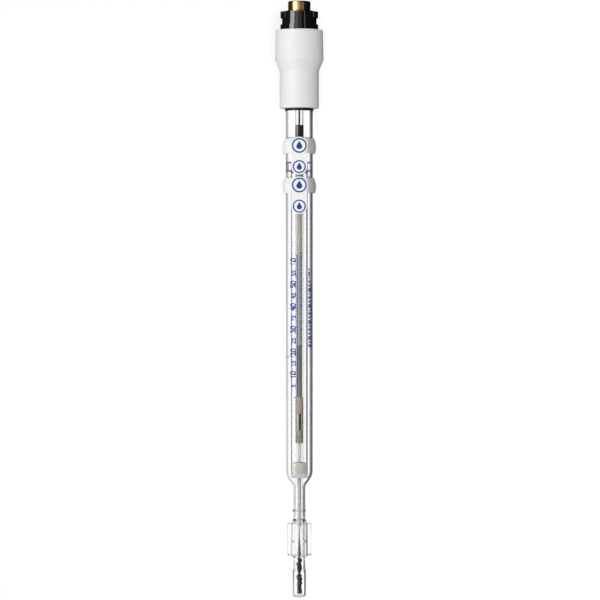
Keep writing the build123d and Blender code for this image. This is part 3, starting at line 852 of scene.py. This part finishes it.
def make_port_mark(name, body, front, height, radius):
    """A printed ring with a drop in it, on the flat front of a closure."""
    deselect()
    bpy.ops.mesh.primitive_circle_add(vertices=72, radius=radius * MM)
    ring = bpy.context.object
    bpy.ops.object.mode_set(mode="EDIT")
    bpy.ops.mesh.select_all(action="SELECT")
    bpy.ops.mesh.extrude_region_move()
    bpy.ops.transform.resize(value=(0.8, 0.8, 1))
    bpy.ops.mesh.select_all(action="SELECT")
    bpy.ops.mesh.extrude_region_move(TRANSFORM_OT_translate={"value": (0, 0, PRINT_THICKNESS * MM)})
    bpy.ops.mesh.select_all(action="SELECT")
    bpy.ops.mesh.normals_make_consistent(inside=False)
    bpy.ops.object.mode_set(mode="OBJECT")
    deselect()
    drop_radius = 0.4 * radius
    bpy.ops.mesh.primitive_circle_add(vertices=48, radius=drop_radius * MM, fill_type="NGON")
    drop = bpy.context.object
    for vertex in drop.data.vertices:
        lift = max(0.0, vertex.co.y / (drop_radius * MM))
        vertex.co.y += 0.75 * drop_radius * MM * lift ** 3
        vertex.co.x *= 1 - 0.55 * lift ** 2
        vertex.co.y -= 0.25 * drop_radius * MM
    bpy.ops.object.mode_set(mode="EDIT")
    bpy.ops.mesh.select_all(action="SELECT")
    bpy.ops.mesh.extrude_region_move(TRANSFORM_OT_translate={"value": (0, 0, PRINT_THICKNESS * MM)})
    bpy.ops.mesh.select_all(action="SELECT")
    bpy.ops.mesh.normals_make_consistent(inside=False)
    bpy.ops.object.mode_set(mode="OBJECT")
    mark = join([ring, drop], name)
    standing = Matrix(((1, 0, 0), (0, 0, -1), (0, 1, 0))).to_4x4()
    mark.matrix_world = Matrix.Translation((0, -(front + PRINT_LIFT) * MM, height * MM)) @ standing
    lay_down(mark, body, ink, smooth=0)


make_close_core_piece("splice_sleeve", beige)
make_close_core_piece("reference_cartridge", striped)
make_close_core_piece("cartridge_plug", grey_plastic)
make_sensing_element()
make_scale()
make_dash_rows()
for body, port in (("upper_closure", UPPER_PORT), ("lower_closure", LOWER_PORT)):
    make_port_mark(body + "_ring_mark", body, RING_FRONT, port + RING_ABOVE_PORT, RING_MARK_RADIUS)
    make_port_mark(body + "_tongue_mark", body, TONGUE_FRONT, port, TONGUE_MARK_RADIUS)
make_glass_body()
make_inner_tube()
make_stem_tube()
make_membrane_tip()
make_ground_sleeve()
make_core_tube()


# Floor, backdrop, light and camera

FLOOR_SIZE = 6.0
FLOOR_COLOUR = 0.28
FLOOR_GLOW = 0.78  # share of the floor's brightness that its shadows leave alone
BACK_GLOW = 0.95  # the same for what shows through glass
WHITE_STRIP = 0.0068  # half width of the white under the glass, before it falls off to both sides
FALL_OFF = 0.0105
NARROW_STRIPS = ((-5.0, 16.5), (34.5, 50.5))  # heights in mm over which the white is only as wide as the neck
STRIP_SOFTNESS = 1.5  # mm
NARROWING = 2.3
WHITE_AGAIN = (0.016, 0.028)  # where it is white again, so that the glass stays clear from the side
LEFT_DIM = (0.42, 0.42, 0.46)
RIGHT_DIM = (0.05, 0.05, 0.13)
MIRROR_DIM = 0.04  # share of those two that reflections show
HEAD_SPAN = (212.0, 220.0)  # heights in mm over which reflections lose the white too
WHITE_SIDE = (-0.02, -0.005)  # left of here the floor is white, and throws the lamps' light onto the electrode
WHITE_FLOOR = 0.8
WHITE_FLOOR_GLOW = 0.3  # share of the floor's glow that the white side needs


def seen_by(tree, *kinds):
    """1 for rays of the given kinds."""
    rays = add(tree, "ShaderNodeLightPath")
    shown = rays.outputs[kinds[0]]
    for kind in kinds[1:]:
        shown = math_node(tree, "MAXIMUM", shown, rays.outputs[kind])
    return shown


def make_floor():
    """A plain pale floor that keeps the electrode's soft shadow. What shows through glass or mirrors in it is
    white under the electrode and darker beside it."""
    bpy.ops.mesh.primitive_plane_add(size=FLOOR_SIZE, location=(0, 0, 0))
    floor = bpy.context.object
    floor.name = "floor"
    material = bpy.data.materials.new("floor_white")
    material.use_nodes = True
    tree = material.node_tree
    tree.nodes.clear()
    output = tree.nodes.new("ShaderNodeOutputMaterial")
    parts = add(tree, "ShaderNodeSeparateXYZ", Vector=add(tree, "ShaderNodeTexCoord").outputs["Object"])
    x = parts.outputs["X"]
    along = math_node(tree, "MULTIPLY_ADD", parts.outputs["Y"], 1 / MM, -tip.y / MM)
    under_head = ramp(tree, along, *HEAD_SPAN)
    unlit = math_node(tree, "MULTIPLY", under_head, seen_by(tree, "Is Glossy Ray"))
    plainly_seen = math_node(tree, "SUBTRACT", 1.0, seen_by(tree, "Is Glossy Ray", "Is Transmission Ray"))
    white_side = math_node(tree, "MULTIPLY", plainly_seen, ramp(tree, x, *WHITE_SIDE, 1.0, 0.0))
    matt_colour = colour_mix(tree, white_side, rgba(FLOOR_COLOUR), rgba(WHITE_FLOOR))
    matt = add(tree, "ShaderNodeBsdfDiffuse", Color=colour_mix(tree, unlit, matt_colour, rgba(0.0)))
    narrow = [between(tree, along, low, high, STRIP_SOFTNESS) for low, high in NARROW_STRIPS]
    widening = math_node(tree, "MULTIPLY_ADD", math_node(tree, "ADD", *narrow), NARROWING - 1, 1.0)
    spread = math_node(tree, "MULTIPLY", x, widening)
    left = ramp(tree, spread, -FALL_OFF, -WHITE_STRIP, 1.0, 0.0)
    right = ramp(tree, spread, WHITE_STRIP, FALL_OFF)
    sides = colour_mix(tree, right, colour_mix(tree, left, rgba(1.0), rgba(LEFT_DIM)), rgba(RIGHT_DIM))
    far = ramp(tree, math_node(tree, "ABSOLUTE", x), *WHITE_AGAIN)
    through = colour_mix(tree, far, sides, rgba(1.0))
    dim = math_node(tree, "MAXIMUM", math_node(tree, "MAXIMUM", left, right), under_head)
    mirrored = colour_mix(tree, math_node(tree, "MULTIPLY", dim, 1 - MIRROR_DIM), sides, rgba(0.0))
    shown = colour_mix(tree, seen_by(tree, "Is Glossy Ray"), rgba(1.0), mirrored)
    shown = colour_mix(tree, seen_by(tree, "Is Transmission Ray"), shown, through)
    lit = add(tree, "ShaderNodeEmission", Color=shown)
    kinds = seen_by(tree, "Is Camera Ray", "Is Glossy Ray")
    glow = math_node(tree, "MAXIMUM", math_node(tree, "MULTIPLY", kinds, FLOOR_GLOW),
                     math_node(tree, "MULTIPLY", seen_by(tree, "Is Transmission Ray"), BACK_GLOW))
    glow = math_node(tree, "MULTIPLY", glow,
                     math_node(tree, "MULTIPLY_ADD", white_side, WHITE_FLOOR_GLOW - 1, 1.0))
    tree.links.new(glow, lit.inputs["Strength"])
    both = tree.nodes.new("ShaderNodeAddShader")
    tree.links.new(matt.outputs[0], both.inputs[0])
    tree.links.new(lit.outputs[0], both.inputs[1])
    tree.links.new(both.outputs[0], output.inputs["Surface"])
    floor.data.materials.append(material)


WORLD_LEFT = 0.6
WORLD_RIGHT = 0.12
WORLD_IN_MIRRORS = 0.06  # share of the world's light that reflections show
WORLD_BEHIND_GLASS = 0.9  # what shows straight through glass
WORLD_TURN = (-0.9, 0.7)  # from left to right, where its light changes


def make_world():
    """Soft light that is brighter from the left, before a white background."""
    world = bpy.data.worlds.new("studio")
    bpy.context.scene.world = world
    world.use_nodes = True
    tree = world.node_tree
    tree.nodes.clear()
    direction = add(tree, "ShaderNodeTexCoord")
    parts = add(tree, "ShaderNodeSeparateXYZ", Vector=direction.outputs["Generated"])
    sides = ramp(tree, parts.outputs["X"], *WORLD_TURN, WORLD_LEFT, WORLD_RIGHT)
    strength = tree.nodes.new("ShaderNodeMix")
    tree.links.new(seen_by(tree, "Is Camera Ray"), strength.inputs[0])
    dimming = math_node(tree, "MULTIPLY_ADD", seen_by(tree, "Is Glossy Ray"), WORLD_IN_MIRRORS - 1, 1.0)
    depths = add(tree, "ShaderNodeLightPath").outputs
    bounces = math_node(tree, "ADD", depths["Diffuse Depth"], depths["Glossy Depth"])
    unscattered = math_node(tree, "LESS_THAN", bounces, 0.5)
    through = math_node(tree, "MULTIPLY", seen_by(tree, "Is Transmission Ray"), unscattered)
    behind_glass = math_node(tree, "MULTIPLY", through, WORLD_BEHIND_GLASS)
    light = math_node(tree, "MAXIMUM", math_node(tree, "MULTIPLY", sides, dimming), behind_glass)
    tree.links.new(light, strength.inputs[2])
    strength.inputs[3].default_value = 1.0
    background = add(tree, "ShaderNodeBackground", Color=rgba(1.0), Strength=strength.outputs[0])
    output = tree.nodes.new("ShaderNodeOutputWorld")
    tree.links.new(background.outputs[0], output.inputs["Surface"])


def make_lamp(name, lean, distance, width, length, energy, unseen=()):
    """A soft lamp over the electrode, leaning to the right of the upright by lean degrees, long side along it."""
    angle = math.radians(lean)
    stand = Vector((math.sin(angle), 0, math.cos(angle))) * distance
    bpy.ops.object.light_add(type="AREA", location=stand)
    lamp = bpy.context.object
    lamp.name = name
    lamp.data.shape = "RECTANGLE"
    lamp.data.size = length
    lamp.data.size_y = width
    lamp.data.energy = energy
    lamp.rotation_euler = (-stand).to_track_quat("-Z", "Y").to_euler()
    for kind in unseen:
        setattr(lamp, "visible_" + kind, False)


def make_camera():
    """The photograph's camera: far off, in front of the ports, with the head at the top of its picture."""
    middle = Vector(((PHOTO_PIXELS / 2 - AXIS_COLUMN) * PIXEL, 0, (TIP_ROW - PHOTO_PIXELS / 2) * PIXEL))
    bpy.ops.object.camera_add()
    camera = bpy.context.object
    camera.name = "camera"
    facing = Matrix((across, axis, -behind)).transposed().to_4x4()
    camera.matrix_world = Matrix.Translation(rest @ middle - behind * CAMERA_DISTANCE) @ facing
    camera.data.sensor_width = SENSOR_WIDTH
    camera.data.lens = SENSOR_WIDTH * CAMERA_DISTANCE / (PHOTO_PIXELS * PIXEL)
    camera.data.clip_end = 20
    bpy.context.scene.camera = camera


make_floor()
make_world()
make_lamp("main_lamp", 6, 1.2, 0.9, 0.9, 10.8, unseen=("glossy", "transmission"))
make_lamp("left_lamp", -84, 1.2, 0.24, 0.9, 3.0, unseen=("glossy", "transmission"))
make_lamp("left_strip", -46, 0.8, 0.42, 1.0, 7.2, unseen=("diffuse", "transmission"))
make_lamp("left_glow", -17, 0.8, 0.24, 1.0, 0.9, unseen=("diffuse", "transmission"))
make_lamp("middle_glow", 4, 0.8, 0.3, 1.0, 0.35, unseen=("diffuse", "transmission"))
make_lamp("right_strip", 35, 0.8, 0.05, 1.0, 0.3, unseen=("diffuse", "transmission"))
make_camera()

scene = bpy.context.scene
scene.view_settings.view_transform = "Standard"
GLASS_BOUNCES = 32  # enough for three tubes, one inside another
scene.cycles.max_bounces = GLASS_BOUNCES
scene.cycles.transmission_bounces = GLASS_BOUNCES
scene.cycles.transparent_max_bounces = GLASS_BOUNCES
